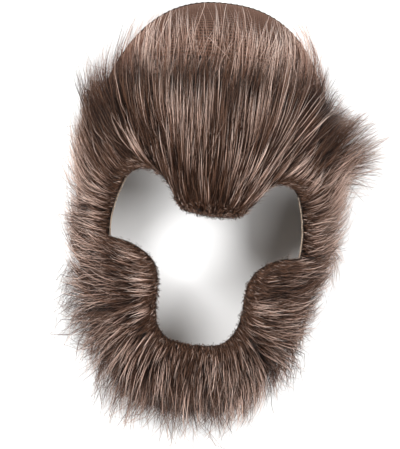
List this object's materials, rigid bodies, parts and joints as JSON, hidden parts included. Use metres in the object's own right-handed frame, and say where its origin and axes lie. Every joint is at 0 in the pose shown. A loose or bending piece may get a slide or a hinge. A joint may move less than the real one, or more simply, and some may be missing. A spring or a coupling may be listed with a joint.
{
  "type": "wolf mask",
  "caption": "Faux-fur wolf mask: a brow pelt and a beard pelt framing an open face, with a knit crown cap, lying face up on its rim.",
  "frame": {"origin": "under the middle of the mask's box, on the plane that its rim lies on", "axes": "+Y from the chin to the crown, +Z out of the face, +X to the right of a viewer who faces the mask"},
  "size_m": [0.206, 0.2796, 0.1076],
  "materials": {
    "brow_fur": "long-pile faux fur, dark roots and pale tips",
    "beard_fur": "long-pile faux fur, dark roots and pale tips",
    "crown_knit": "fine ribbed stretch knit"
  },
  "bodies": {
    "root": {"brow_pelt": "brow_fur", "beard_pelt": "beard_fur", "crown_cap": "crown_knit"}
  },
  "joints": []
}
